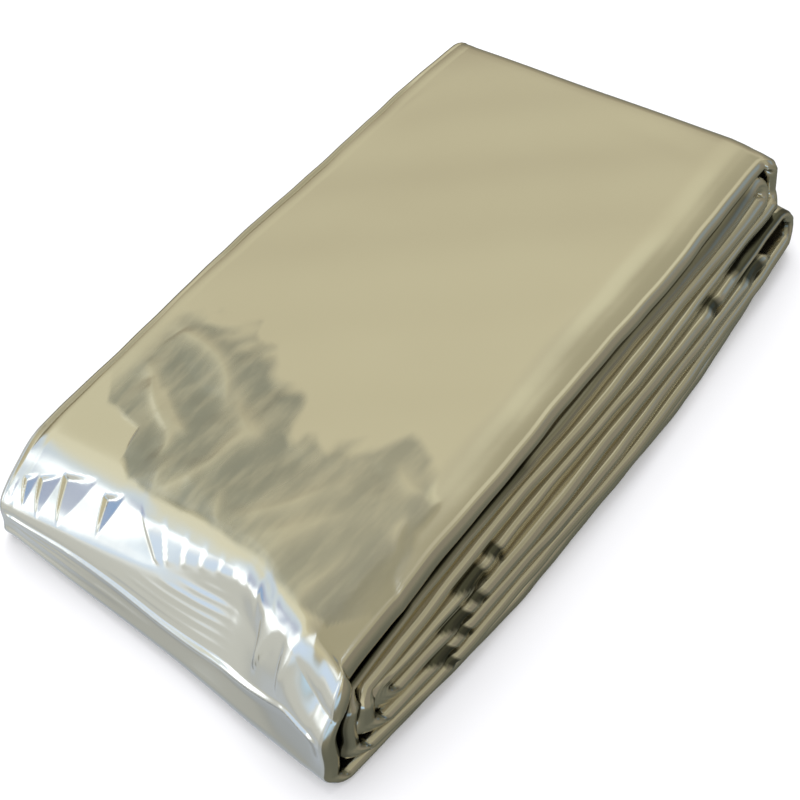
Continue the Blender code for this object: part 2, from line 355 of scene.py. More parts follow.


# The folded side edges of each layer: a round rim, a little thicker than the layer behind it, so that the
# rims nearly touch. Painted shade darkens it towards its neighbours. Some rims are split by a groove into two
# folds.
RIM_POINTS = 13
RIM_DEPTH = 1.35
RIM_SWELL = 0.262
RIM_SHADE = 0.22
RIM_SHADE_ANGLES = (50.0, 85.0)
ROLL_START_ANGLE = -60.0
STRETCH = "layer start_x stop_x depth"
RIM_GROOVES = {
    "right": table(
        STRETCH,
        (1, -50, 70, 0.25),
        (3, -20, 40, 0.25),
        (5, -46, 66, 0.3),
        (7, -14, 66, 0.35),
    ),
    "left": table(STRETCH, (2, -60.0, 40.0, 0.3), (4, -20.0, 70.0, 0.3), (7, -10.0, 60.0, 0.3)),
}
GROOVE_FADE = 7.0
GROOVE_HALF_ANGLE = 24.0

# Where two layers of the right side stand apart: the layer under the gap, and the gap's width. Painted
# shade darkens the rims along each gap.
SIDE_GAPS = table(
    STRETCH,
    (7, -66, -38, 0.5),
    (7, -38, -12, 0.3),
    (7, -12, 56, 0.2),
    (4, 50, 72, 0.75),
)
GAP_FADE = 5.0
GAP_SHADE_OPENING = 0.35
GAP_SHADE_ANGLES = (20.0, 50.0)

# Pockets in the right side, where a layer's edge is tucked in under the one above. Each starts narrow at
# start_x, opens down the whole edge at stop_x and closes there. Painted shade darkens their inside.
POCKETS = table(
    STRETCH,
    (5, -31.4, -25.8, 0.5),
    (4, -37.4, -32.2, 0.5),
    (3, -43.6, -38.4, 0.5),
    (5, -24.2, -22, 0.35),
    (4, -30.8, -28.6, 0.35),
    (3, -36.6, -34.4, 0.35),
    (2, -42.4, -40.2, 0.35),
    (4, 35.8, 39.6, 0.5),
    (3, 46.8, 53.6, 0.5),
)
POCKET_CLOSE = 0.6
POCKET_SLANT = 0.7
POCKET_SHADE_DEPTH = 0.25

# The bends of the inner turns at the near end are fuller along the pack's side, and nearly touch. Painted
# shade darkens their inner sides.
FULL_BENDS = table(
    "low_layer high_layer x z amount reach",
    (2, 7, -61.6, 5.4, 1.6, 2.8),
    (3, 6, -55.8, 8.4, 2.2, 3),
    (4, 5, -49.2, 10.6, 3, 3.2),
)
INNER_BEND_SHADE = 0.9
INNER_BEND_ANGLES = (10.0, 50.0)
UPPER_BEND_LAYERS = {3, 4, 5, 6}


def stretch_depth(rows, layer, x, fade):
    """The depth of a groove or gap at a place along a layer, fading out past its ends."""
    depths = [0.0]
    for row in rows:
        if row.layer == layer:
            inside = ramp(x, row.start_x - fade, row.start_x) * ramp(x, row.stop_x + fade, row.stop_x)
            depths.append(row.depth * float(inside))
    return max(depths)


def tuck(layer, x, up_share):
    """How far a pocket draws a right rim's points in, given their share of the way up the rim."""
    drawn = np.zeros_like(up_share)
    for pocket in POCKETS:
        if pocket.layer == layer and pocket.start_x < x < pocket.stop_x + POCKET_CLOSE:
            opened = min((x - pocket.start_x) / (pocket.stop_x - pocket.start_x), 1.0) * (1.0 + POCKET_SLANT)
            shut = 1.0 - max(x - pocket.stop_x, 0.0) / POCKET_CLOSE
            inside = smooth_share((up_share - 1.0 + opened) / POCKET_SLANT)
            drawn = np.maximum(drawn, pocket.depth * shut * inside)
    return drawn


def bend_fullness(station):
    """How much fuller the rim is here on the outer side of its near bend."""
    fullness = 0.0
    for bend in FULL_BENDS:
        if set(station.layers) <= {bend.low_layer, bend.high_layer}:
            distance = math.hypot(station.x - bend.x, station.z - bend.z) / bend.reach
            fullness = max(fullness, bend.amount * math.exp(-distance * distance))
    return fullness


def rolled_share(station, side):
    """How far a rim is rolled over: the top layer's right one, and the turns beside it less and less."""
    if side == "left":
        return 0.0
    leaving_top, entering_top = (layer == LAYER_COUNT for layer in station.layers)
    at_top = (1.0 - station.share) * leaving_top + station.share * entering_top
    return float(smooth_share(2.0 * at_top - 1.0))


def rim_points(station, side):
    """A rim's points from its lower to its upper end: their inset, height and depth of painted shade."""
    rolled = rolled_share(station, side)
    angles = np.linspace(-90.0 + (ROLL_START_ANGLE + 90.0) * rolled, 90.0, RIM_POINTS)
    lower_half = angles < 0.0
    up_share = (angles + 90.0) / 180.0
    facing_down = math.cos(station.heading) < 0.0
    if facing_down:
        up_share = 1.0 - up_share
    groove = upper_open = lower_open = 0.0
    drawn_in = np.zeros(RIM_POINTS)
    for layer, weight in zip(station.layers, (1.0 - station.share, station.share)):
        groove += weight * stretch_depth(RIM_GROOVES[side], layer, station.x, GROOVE_FADE)
        if side == "right":
            drawn_in += weight * tuck(layer, station.x, up_share)
            upper_open += weight * stretch_depth(SIDE_GAPS, layer, station.x, GAP_FADE)
            lower_open += weight * stretch_depth(SIDE_GAPS, layer - 1, station.x, GAP_FADE)
    lower_swell, upper_swell = RIM_SWELL - lower_open, RIM_SWELL - upper_open
    if facing_down:
        lower_swell, upper_swell = upper_swell, lower_swell
    outer_is_upper = set(station.layers) <= UPPER_BEND_LAYERS
    if outer_is_upper:
        upper_swell += bend_fullness(station)
    else:
        lower_swell += bend_fullness(station)
    insets = (RIM_DEPTH + (ROLL_DEPTH - RIM_DEPTH) * rolled) * (1.0 - np.cos(np.radians(angles))) + drawn_in
    insets += groove * np.exp(-((angles / GROOVE_HALF_ANGLE) ** 2))
    swell = np.where(lower_half, lower_swell, upper_swell)
    heights = (LAYER_THICKNESS / 2 + swell) * np.sin(np.radians(angles))
    # Painted shade inside the pockets.
    shade = clipped(drawn_in / POCKET_SHADE_DEPTH)
    # Painted shade in the grooves between neighbouring rims.
    shade = shade + RIM_SHADE * ramp(np.abs(angles), *RIM_SHADE_ANGLES)
    if side == "left" and station.layers == (LAYER_COUNT, LAYER_COUNT):
        shade = np.where(lower_half, 0.0, shade)
    shade = np.where(lower_half, shade * (1.0 - rolled), shade)
    # Painted shade on the inner side of the near bends.
    if station.layers[0] != station.layers[1] and station.x < NEAR_SHIFT_X[1]:
        shade = shade + INNER_BEND_SHADE * ramp(-angles if outer_is_upper else angles, *INNER_BEND_ANGLES)
    # Painted shade along the gaps between layers.
    gap_shade = np.where(lower_half == facing_down, upper_open, lower_open) / GAP_SHADE_OPENING
    shade = shade + clipped(gap_shade) * ramp(np.abs(angles), *GAP_SHADE_ANGLES)
    return insets, heights, clipped(shade)


# The points round the strip at one station, and what the finish reads there: how crushed the film is, how
# much painted shade darkens it, and the place through the layer.
FINISH_VALUES = ("crushed", "shade", "through")
Ring = namedtuple("Ring", ("x", "y", "z", *FINISH_VALUES))
HIDDEN_INSET = 3.6
SWELL_REACH = 3.0
FLAT_SHARE = 0.99


def ring(station, shown):
    """The ring at one station: right rim, upper face, left rim and lower face."""
    right = station_edge(station, "right")
    left = station_edge(station, "left")
    half = LAYER_THICKNESS / 2
    right_insets, right_heights, right_shade = rim_points(station, "right")
    left_insets, left_heights, left_shade = rim_points(station, "left")
    upper_y = lower_y = np.linspace(right, left, HIDDEN_COLUMNS + 2)
    upper_y[0], upper_y[-1] = right + HIDDEN_INSET, left - HIDDEN_INSET
    swell = 0.0 * lower_y
    if shown:
        start, stop = right + right_insets[0], left - left_insets[0]
        lower_y = start + (stop - start) * COLUMN_SHARES
        swell = np.maximum(1.0 - (lower_y - start) / SWELL_REACH, 0.0) * (-right_heights[0] - half)
        swell += np.maximum(1.0 - (stop - lower_y) / SWELL_REACH, 0.0) * (-left_heights[0] - half)
    y = np.concatenate((right + right_insets, upper_y, left - left_insets[::-1], lower_y[::-1]))
    upper_height = np.full(len(upper_y), half)
    height = np.concatenate((right_heights, upper_height, left_heights[::-1], (-half - swell)[::-1]))
    if station in (path[0], path[-1]):
        height = height * END_SHARE
    x = station.x - height * math.sin(station.heading)
    z = station.z + height * math.cos(station.heading)
    if station.layers == (1, 1):
        z = np.where(height <= -half * FLAT_SHARE, 0.0, z)
    shade = np.concatenate((right_shade, 0.0 * upper_y, left_shade[::-1], 0.0 * lower_y))
    return Ring(x, y, np.maximum(z, 0.0), np.zeros(len(x)), shade, height / half)


# ---- Creases of the top, pressed in. Places are millimetres along x and across y.

# Long, low waves of the whole top: how high, how long each way, and where they start.
TOP_WAVES = table(
    "height along_x along_y turn",
    (0.16, 74, 95, 0.7),
    (0.09, 41, -60, 2),
    (0.05, 23, 31, 4.1),
)

# The crushed part of the top: where it starts and stops along the pack, and how strongly it is crushed.
CRUSHED_PLACES = table(
    "y near_x far_x strength",
    (-37, -46, -38, 0.2),
    (-34, -51.5, -27, 0.6),
    (-27, -51.5, -21.8, 0.7),
    (-22, -50.5, -19, 0.74),
    (-18.5, -49.2, -24.5, 0.7),
    (-14, -48.9, -29.6, 0.75),
    (-6, -49.5, -30.2, 0.95),
    (-1, -50, -25.6, 1),
    (5, -50.4, -21.8, 1),
    (14.5, -51.2, -21.3, 1),
    (18.5, -49, -18.8, 1),
    (20.5, -43.5, -17.6, 1),
    (27, -42.5, -18.4, 1),
    (30.5, -42.5, -19.5, 0.85),
    (34.5, -38, -22, 0.1),
)
CRUSHED_EDGE = 2.4
CRUSHED_NEAR_EDGE = 1.3
CRUSHED_NEAR_RAGGED = 0.12
CRUSHED_LOW_T = 17.0
# Raised creases in the crushed part lose some of its crushing: they are glossier, and a painted highlight
# keeps their colour lighter.
RIDGE_GLOSS_AND_HIGHLIGHT = 0.75
RIDGE_HIGHLIGHT_HEIGHT = 0.2

# Crumpling inside it, and its ragged edges: flat facets of two sizes, over a warped grid.
FACETS = "size height seed"
CRUSHED_FACETS = table(FACETS, (7.5, 0.3, 3), (3.2, 0.08, 8))
CRUSHED_RAGGED = table(FACETS, (6.5, 3.6, 5), (2.6, 1.9, 12))
FACET_GRID = 64
FACET_GRID_START = 20.0
FACET_SKEW = 0.5
FACET_WARP = 1.6
FACET_SIDE_WARP = 0.6
FACET_WARP_LENGTHS = (3.1, 2.3, 3.7, 2.6)
FACET_WARP_TURNS = (1.0, 0.4)

# Single creases: where one runs from and to, its bow sideways, and the height and half width of its ridge. A
# trough has a height below zero.
CREASES = "along across to_along to_across bow height half_width"
CREASE_END_SHARE = 0.35
CREASE_END_INSET = 0.02
CREASE_TAPER = 0.6
CREASE_FALL = 1.3
TOP_CREASES = table(
    CREASES,
    (-24.5, 31, -24.9, 19, -0.8, 0.25, 1.1),
    (-24.9, 19, -31, 10.5, -0.8, 0.2, 1.1),
    (-35, 26, -40.4, 15.2, 0.6, 0.38, 0.8),
    (-40.4, 15.2, -44.5, 12.8, -0.5, 0.2, 0.8),
    (-35.3, 22.5, -39.6, 12.4, 0.7, 0.22, 0.7),
    (-45.3, 10.4, -50.4, 8.4, 0.3, 0.12, 0.9),
    (-50.4, 7.8, -41, 3, 0.5, 0.18, 1),
    (-41, 3, -33, 2, -0.5, 0.18, 1.2),
    (-44.4, -3, -48.4, -6.4, 0.5, 0.18, 0.8),
    (-29, 9.5, -33.4, -1, 0.9, 0.2, 1.3),
    (-45.3, -9.5, -33, -18, 0.8, 0.18, 1.2),
    (-48, -13, -38.5, -20.5, 0.5, 0.1, 1),
    (-47.5, -18, -36, -23.5, -0.6, 0.14, 1.2),
    (-48.5, -22.5, -40, -24, 0.5, -0.12, 0.9),
    (-50, -27, -41, -28.5, 0.6, 0.14, 0.9),
    (-51.5, -31, -42, -31.5, -0.4, -0.18, 0.8),
    (-31.8, -32, -36.2, -33.9, 0.2, 0.3, 0.7),
    (-25, -24.8, -27.2, -31.8, 0.8, 0.22, 0.9),
    (-26.6, -20, -28.6, -23.6, 0, -0.25, 0.8),
    (-23.5, 30, -28.5, 31.5, 0.4, -0.31, 0.9),
    (-33, 30, -36.5, 24.5, -0.4, 0.18, 1),
    (-40.9, -37.4, -43.4, -39.4, 0, -0.28, 0.5),
    (-36, -35.6, -41.5, -37.2, 0.6, -0.25, 0.6),
    (-16.5, 26, -17.5, 12, 1.5, 0.07, 2.2),
    (-8, 4, -4, -12, 1, 0.05, 2.6),
    (14, 20, 22, -2, -2, 0.05, 3),
    (60, -4, 57.5, -26, -0.6, -0.06, 1),
    (50, 33, 30, 35, 0.8, 0.07, 1.4),
)

# The top falls away along its near edge and rolls over along its right one.
NEAR_BROW_X = -49.3
NEAR_BROW_SLOPE = math.tan(math.radians(9.0))
NEAR_BROW_ROUND = 1.3
NEAR_BROW_SPAN = 2.6
NEAR_BROW_T = (13.0, STACK_HEIGHT)
RIGHT_ROLL_WIDTH = 7.6
RIGHT_ROLL_DROP = 1.8
RIGHT_ROLL_POWER = 1.75
RIGHT_ROLL_T = (19.6, STACK_HEIGHT)
LEFT_ROLL_WIDTH = 2.6
LEFT_ROLL_DROP = 0.35
CORNER_FACET_DROP = 0.75
CORNER_FACET_X = (-33.0, -45.0)
CORNER_FACET_WIDTH = 4.5


def crease_relief(creases, along, across):
    """The height of all the creases of a table at the given places."""
    relief = np.zeros_like(along)
    for crease in creases:
        run_along, run_across = crease.to_along - crease.along, crease.to_across - crease.across
        length = math.hypot(run_along, run_across)
        past_along, past_across = along - crease.along, across - crease.across
        share = (past_along * run_along + past_across * run_across) / length**2
        inside = clipped(share)
        bow = crease.bow * 4.0 * inside * (1.0 - inside)
        aside = (past_along * run_across - past_across * run_along) / length - bow
        distance = np.hypot(aside, (share - inside) * length) / crease.half_width
        middle = np.sin(math.pi * np.clip(inside, CREASE_END_INSET, 1.0 - CREASE_END_INSET)) ** CREASE_TAPER
        taper = CREASE_END_SHARE + (1.0 - CREASE_END_SHARE) * middle
        relief += crease.height * taper * np.exp(-distance * CREASE_FALL) * (1.0 + distance)
    return relief


def facet_relief(facets, x, y):
    """Crumpled film: flat three-sided facets between random heights, over a warped grid."""
    heights = np.random.default_rng(facets.seed).uniform(-1.0, 1.0, (FACET_GRID, FACET_GRID))
    wave_x, side_x, wave_y, side_y = FACET_WARP_LENGTHS
    turn_x, turn_y = FACET_WARP_TURNS
    warp_x = np.sin(y / wave_x + facets.seed) + FACET_SIDE_WARP * np.sin(x / side_x + turn_x)
    warp_y = np.sin(x / wave_y + 2.0 * facets.seed) + FACET_SIDE_WARP * np.sin(y / side_y + turn_y)
    across = (x + FACET_WARP * warp_x) / facets.size + FACET_GRID_START
    along = (y + FACET_WARP * warp_y + FACET_SKEW * x) / facets.size + FACET_GRID_START
    i, j = np.floor(across).astype(int), np.floor(along).astype(int)
    u, v = across - i, along - j
    i, j = i % (FACET_GRID - 1), j % (FACET_GRID - 1)
    low, high = heights[i, j], heights[i + 1, j + 1]
    beside, above = heights[i + 1, j], heights[i, j + 1]
    lower_half = low + (beside - low) * u + (high - beside) * v
    upper_half = low + (above - low) * v + (high - above) * u
    return facets.height * np.where(u > v, lower_half, upper_half)


def crushed_share(x, y):
    """How crushed the film of the top is: 0 where it is smooth."""
    places_y, near_x, far_x, _ = zip(*CRUSHED_PLACES)
    ragged = sum(facet_relief(facets, x, y) for facets in CRUSHED_RAGGED)
    past_near = x - np.interp(y, places_y, near_x) - CRUSHED_NEAR_RAGGED * ragged
    before_far = np.interp(y, places_y, far_x) + ragged - x
    inside_near = smooth_share(past_near / CRUSHED_NEAR_EDGE + 0.5)
    inside_far = smooth_share(before_far / CRUSHED_EDGE / 2 + 0.5)
    return curve_across(CRUSHED_PLACES, "strength", y) * inside_far * inside_near


def brow_relief(x, t):
    """How far the top falls away towards its near edge. That fades out down the slope."""
    past_brow = (NEAR_BROW_X - x) / NEAR_BROW_ROUND
    steps = np.logaddexp(0.0, past_brow) - np.logaddexp(0.0, past_brow - NEAR_BROW_SPAN)
    return -NEAR_BROW_SLOPE * NEAR_BROW_ROUND * steps * ramp(t, *NEAR_BROW_T)


def edge_fall(from_edge, width, power):
    """How far a face falls away towards its edge: 1 on the edge itself."""
    return clipped(1.0 - from_edge / width) ** power


def top_relief(x, y, from_right, from_left):
    """The height of the top face over its flat, at places so far from its two side edges."""
    relief = crease_relief(TOP_CREASES, x, y)
    for wave in TOP_WAVES:
        relief += wave.height * np.sin(2 * math.pi * (x / wave.along_x + y / wave.along_y) + wave.turn)
    crushed = crushed_share(x, y)
    for facets in CRUSHED_FACETS:
        relief += facet_relief(facets, x, y) * crushed
    relief -= LEFT_ROLL_DROP * edge_fall(from_left, LEFT_ROLL_WIDTH, 2.0)
    corner = ramp(x, *CORNER_FACET_X) * edge_fall(from_right, CORNER_FACET_WIDTH, 1.0)
    return relief - CORNER_FACET_DROP * corner


# ---- Creases of the near end. Places are y across the pack and the height t in the even pack.

# The ridge that runs slantwise over the near end, from low on the left up to the top edge, with how far it
# stands out, and the sharp crease low on the slope.
SLOPE_PLACES = table(
    "y ridge_t ridge_height crease_t",
    (-42, 20.6, 0.1, 13.4),
    (-38, 20.6, 0.2, 12.8),
    (-34, 20.4, 0.2, 11.8),
    (-28, 20.2, 0.3, 9.5),
    (-22, 20, 0.4, 8),
    (-15, 18.6, 0.55, 7.3),
    (-8, 17.4, 0.75, 7.2),
    (-3, 16.2, 0.85, 7.3),
    (2, 15, 0.7, 7.7),
    (10, 14.2, 0.5, 8.6),
    (18, 13.8, 0.35, 9.5),
    (26, 13.4, 0.25, 9.9),
    (34, 12.6, 0.15, 10),
    (40, 11.5, 0.1, 10),
)
TOP_EDGE_T = 22.2
RIDGE_ROUND = 0.12
RIDGE_ROUND_POWER = 6
CREASE_HEIGHT_LEFT = 0.42
CREASE_HEIGHT_RIGHT = 0.4
CREASE_HEIGHT_Y = (-20.0, 30.0)
CREASE_ABOVE = 0.8
CREASE_BELOW = 0.45

# Under the crease the film is drawn in, and painted shade darkens it, most of all to the right.
BAND_DEPTH = 0.25
BAND_DEPTH_FOOT = 0.8
BAND_DEPTH_TOP = 0.2
BAND_SHADE = 0.3
BAND_SHADE_Y = (34.0, 4.0)
BAND_SHADE_BELOW = (0.2, 1.0)
BAND_FOOT_SHARE = 0.35
BAND_FOOT_T = 5.0

# Right of the flaps the top edge is fuller, and bends over a little further down.
FULL_EDGE_HEIGHT = 0.6
FULL_EDGE_LEFT_Y = (15.0, 4.0)
FULL_EDGE_RIGHT_Y = (-31.0, -21.0)
FULL_EDGE_T = (15.5, 20.1)
FULL_EDGE_RADIUS = 6.2
FULL_EDGE_TURN = 50.0

# Fine, straight folds between the crease and the ridge, side by side. Each starts further right.
FINE_FOLD_COUNT = 6
FINE_FOLD_FIRST = 2.2
FINE_FOLD_STEP = 1.45
FINE_FOLD_HEIGHT = 0.06
FINE_FOLD_HALF_WIDTH = 0.38
FINE_FOLD_LEFT_Y = (13.0, 7.0)
FINE_FOLD_LEFT_STEP = 4.0
FINE_FOLD_RIGHT_Y = (-19.5, -10.5)
FINE_FOLD_RIDGE_FADE = 1.2

# Long folds in the band under the crease.
BAND_FOLDS = table(
    CREASES,
    (38, 6.4, 0, 5.2, 0.2, 0.16, 0.5),
    (40, 4.6, -10, 3.6, 0.2, -0.14, 0.6),
    (36, 8, 14, 7, 0.1, 0.1, 0.4),
)

# Flat, three-sided flaps of film along the upper slope. A flap stands out by its height at its tip, or sinks
# if that is below zero, and runs out level along the line from its side to its foot.
FLAPS = table(
    "tip_y tip_t side_y side_t foot_y foot_t height",
    (40.4, 16, 38.9, 16.7, 38.6, 12.9, -0.22),
    (38.7, 16.8, 36.4, 17.6, 35.9, 13.6, -0.32),
    (35.5, 17.9, 32.6, 19, 32.6, 13.6, -0.4),
    (32.2, 18.7, 27.6, 20.3, 28.8, 13.2, -0.52),
    (27.4, 20.2, 19.6, 21.6, 23.8, 13.6, -0.66),
    (17, 20.2, 12.7, 21.4, 14.8, 15, -0.66),
    (-24.4, 12.4, -27.4, 20.2, -23.4, 20.4, 1.25),
    (-30.4, 13.6, -33, 20.6, -29.4, 21.2, 0.95),
)
FLAP_LAP_LEFT = 0.22
FLAP_LAP_RIGHT = 1.3
FLAP_TOP_LAP = 0.4
FLAP_TOP_RISE = 0.9
FLAP_TOP_START = 0.4

# Right of the flaps the film lies in even pleats: where each fold is at its top and at its foot on the ridge.
PLEATS = table(
    "top_y foot_y height",
    (9.4, 2.4, 0.26),
    (3, -0.5, 0.15),
    (-2.6, -4.3, 0.14),
    (-7, -8, 0.13),
    (-11, -11.4, 0.12),
    (-14.4, -14.9, 0.1),
    (-17.2, -18, 0.08),
    (-20, -20.6, 0),
)
PLEAT_TOP_T = 21.8
PLEAT_FOOT_T = 16.5
PLEAT_LAP = 0.6
PLEAT_RISE_SHARE = 0.5
PLEAT_RIDGE_FADE = 1.2

SLOPE_CREASES = table(
    CREASES,
    (-18.5, 22, -24, 21.6, 0.3, -0.12, 0.5),
    (-24.4, 21.9, -27.4, 21.3, -0.3, -0.12, 0.4),
    (-20.2, 21.4, -21.6, 17.6, 0.3, -0.16, 0.5),
)
SIDE_FADE = 2.2


def flap_relief(flap, y, t):
    """How far one flap stands out of the slope."""
    past_y, past_t = y - flap.tip_y, t - flap.tip_t
    side_y, side_t = flap.side_y - flap.tip_y, flap.side_t - flap.tip_t
    foot_y, foot_t = flap.foot_y - flap.tip_y, flap.foot_t - flap.tip_t
    area = side_y * foot_t - side_t * foot_y
    towards_side = (past_y * foot_t - past_t * foot_y) / area
    towards_foot = (past_t * side_y - past_y * side_t) / area
    from_tip_foot = towards_side * abs(area) / math.hypot(foot_y, foot_t)
    from_tip_side = towards_foot * abs(area) / math.hypot(side_y, side_t)
    if flap.height < 0.0:
        lapped = smooth_share(from_tip_foot / FLAP_LAP_LEFT + 0.5)
        lapped = lapped * smooth_share(from_tip_side / FLAP_TOP_LAP + 0.5)
        lapped = lapped * clipped(from_tip_side / FLAP_TOP_RISE + FLAP_TOP_START)
    else:
        lapped = smooth_share(np.minimum(from_tip_foot, from_tip_side) / FLAP_LAP_RIGHT + 0.5)
    return flap.height * clipped(1.0 - towards_side - towards_foot) * lapped


def pleat_relief(y, t, ridge_t):
    """How far the pleats stand out: each rises at once at its fold and runs out at the next one."""
    down = (PLEAT_TOP_T - t) / (PLEAT_TOP_T - PLEAT_FOOT_T)
    relief = np.zeros_like(y)
    for pleat, after in zip(PLEATS, PLEATS[1:]):
        start = pleat.top_y + (pleat.foot_y - pleat.top_y) * down
        stop = after.top_y + (after.foot_y - after.top_y) * down
        along = clipped((start - y) / (start - stop))
        relief += pleat.height * (1.0 - along) * smooth_share((start - y) / PLEAT_LAP)
    return relief * smooth_share(down / PLEAT_RISE_SHARE) * smooth_share((t - ridge_t) / PLEAT_RIDGE_FADE)


def band_shade(y, t):
    """How much painted shade darkens the band under the low crease."""
    below_crease = curve_across(SLOPE_PLACES, "crease_t", y) - t
    foot = BAND_FOOT_SHARE + (1.0 - BAND_FOOT_SHARE) * smooth_share(t / BAND_FOOT_T)
    return BAND_SHADE * ramp(y, *BAND_SHADE_Y) * ramp(below_crease, *BAND_SHADE_BELOW) * foot


def slope_relief(y, t):
    """How far the near end's slope stands out."""
    ridge_t, ridge_height, crease_t = (
        curve_across(SLOPE_PLACES, column, y) for column in ("ridge_t", "ridge_height", "crease_t")
    )
    above = clipped((TOP_EDGE_T - t) / np.maximum(TOP_EDGE_T - ridge_t, 1.0))
    below = clipped((t - crease_t) / np.maximum(ridge_t - crease_t, 1.0))
    rise = np.minimum(above, below)
    relief = ridge_height * (rise - RIDGE_ROUND * rise**RIDGE_ROUND_POWER)
    turned = np.degrees(np.arccos(clipped(1.0 - (STACK_HEIGHT - t) / FULL_EDGE_RADIUS)))
    fuller = clipped(turned / FULL_EDGE_TURN) * ramp(t, *FULL_EDGE_T)
    relief += FULL_EDGE_HEIGHT * fuller * ramp(y, *FULL_EDGE_LEFT_Y) * ramp(y, *FULL_EDGE_RIGHT_Y)
    over = np.maximum((t - crease_t) / CREASE_ABOVE, (crease_t - t) / CREASE_BELOW)
    leftness = ramp(y, *CREASE_HEIGHT_Y)
    crease_height = CREASE_HEIGHT_RIGHT + (CREASE_HEIGHT_LEFT - CREASE_HEIGHT_RIGHT) * leftness
    relief += crease_height * clipped(1.0 - over)
    under = clipped(t / crease_t)
    drawn_in = smooth_share(under / BAND_DEPTH_FOOT) * smooth_share((1.0 - under) / BAND_DEPTH_TOP)
    relief -= BAND_DEPTH * drawn_in
    for fold in range(FINE_FOLD_COUNT):
        fold_t = crease_t + FINE_FOLD_FIRST + fold * FINE_FOLD_STEP
        shown = smooth_share((ridge_t - fold_t) / FINE_FOLD_RIDGE_FADE) * ramp(y, *FINE_FOLD_RIGHT_Y)
        shown = shown * ramp(y + fold * FINE_FOLD_LEFT_STEP, *FINE_FOLD_LEFT_Y)
        relief += FINE_FOLD_HEIGHT * shown * np.exp(-((t - fold_t) / FINE_FOLD_HALF_WIDTH) ** 2)
    for flap in FLAPS:
        relief += flap_relief(flap, y, t)
    relief += pleat_relief(y, t, ridge_t)
    return relief + crease_relief(BAND_FOLDS, y, t) + crease_relief(SLOPE_CREASES, y, t)


# ---- The sheet's mesh

# The outer face's way from the far turns over the top to the near nose, by the layers it joins. Relief is
# laid on its last three parts, for the top or for the slope by the film's tilt in degrees.
SHOWN_PARTS = ((2, 4), (5, 8), (8, 8), (8, 1))
NEAR_TOP_TILT = (52.0, 2.0)
FAR_TOP_TILT = (70.0, 20.0)
SLOPE_TILT = (4.0, 20.0)
RIM_FOLLOWS = 1.25

path = strip_path()
rings = [ring(station, station.layers in SHOWN_PARTS) for station in path]
points = [settled(one.x, one.y, one.z) for one in rings]

relief_rows = [row for row, station in enumerate(path) if station.layers in SHOWN_PARTS[1:]]
grid = np.array([[rings[row][axis][-SHOWN_COLUMNS:] for axis in range(3)] for row in relief_rows])
even_x, even_y, even_t = grid[:, 0], grid[:, 1], grid[:, 2]
real = settled(even_x, even_y, even_t)
normals = np.cross(np.gradient(real, axis=0), np.gradient(real, axis=1))
normals /= np.linalg.norm(normals, axis=-1, keepdims=True)
headings = np.array([path[row].heading for row in relief_rows])[:, None]
tilt = np.degrees(np.abs(headings % (2 * math.pi) - math.pi))
near_side = np.array([path[row].x < 0.0 for row in relief_rows])[:, None]
on_top = np.where(near_side, ramp(tilt, *NEAR_TOP_TILT), ramp(tilt, *FAR_TOP_TILT))
on_slope = np.where(near_side, ramp(tilt, *SLOPE_TILT), 0.0)
from_right = even_y - even_y[:, -1:]
from_left = even_y[:, :1] - even_y
side_share = smooth_share(np.minimum(from_right, from_left) / SIDE_FADE)
right_fall = edge_fall(from_right, RIGHT_ROLL_WIDTH, RIGHT_ROLL_POWER) * ramp(even_t, *RIGHT_ROLL_T)
relief = top_relief(real[..., 0], even_y, from_right, from_left) * on_top
relief += brow_relief(even_x, even_t) - RIGHT_ROLL_DROP * right_fall
relief += slope_relief(even_y, even_t) * on_slope * side_share
real = real + normals * relief[..., None]

ridges = crease_relief([crease for crease in TOP_CREASES if crease.height > 0.0], real[..., 0], even_y)
crushed_values = crushed_share(real[..., 0], even_y) * (even_t > CRUSHED_LOW_T)
# Painted highlight: raised creases lose part of the crushed darkening, and are glossier too.
crushed_values *= 1.0 - RIDGE_GLOSS_AND_HIGHLIGHT * clipped(ridges / RIDGE_HIGHLIGHT_HEIGHT)
band_values = band_shade(even_y, even_t) * on_slope

# The rims beside the rolled top follow it down.
rim_follows = smooth_share(np.linspace(RIM_FOLLOWS, 0.0, RIM_POINTS))[:, None]
for index, row in enumerate(relief_rows):
    points[row][-SHOWN_COLUMNS:] = real[index]
    points[row][:RIM_POINTS] += normals[index, -1] * relief[index, -1] * rim_follows
    rings[row].crushed[-SHOWN_COLUMNS:] = crushed_values[index]
    rings[row].shade[-SHOWN_COLUMNS:] = band_values[index]


def strips(count, first):
    """The vertex numbers of a ring's right rim, upper face, left rim and lower face."""
    numbers = [*range(first, first + count), first]
    left_start = RIM_POINTS + HIDDEN_COLUMNS + 2
    corners = (0, RIM_POINTS - 1, left_start, left_start + RIM_POINTS - 1, count)
    return [numbers[start : stop + 1] for start, stop in zip(corners, corners[1:])]


def bridge(faces, row_a, row_b):
    """Faces between two rows of points, four-sided where they have as many, three-sided where not."""
    if len(row_a) == len(row_b):
        faces.extend(zip(row_a, row_a[1:], row_b[1:], row_b))
        return
    a = b = 0
    while a < len(row_a) - 1 or b < len(row_b) - 1:
        share_a = (a + 1) / (len(row_a) - 1)
        share_b = (b + 1) / (len(row_b) - 1)
        if b == len(row_b) - 1 or (a < len(row_a) - 1 and share_a <= share_b):
            faces.append((row_a[a], row_a[a + 1], row_b[b]))
            a += 1
        else:
            faces.append((row_a[a], row_b[b + 1], row_b[b]))
            b += 1


counts = [len(one.x) for one in rings]
firsts = np.cumsum([0] + counts).tolist()
faces = [range(counts[0])]
ring_strips = [strips(count, first) for count, first in zip(counts, firsts)]
for strips_a, strips_b in zip(ring_strips, ring_strips[1:]):
    for row_a, row_b in zip(strips_a, strips_b):
        bridge(faces, row_a, row_b)
faces.append(range(firsts[-2], firsts[-1]))

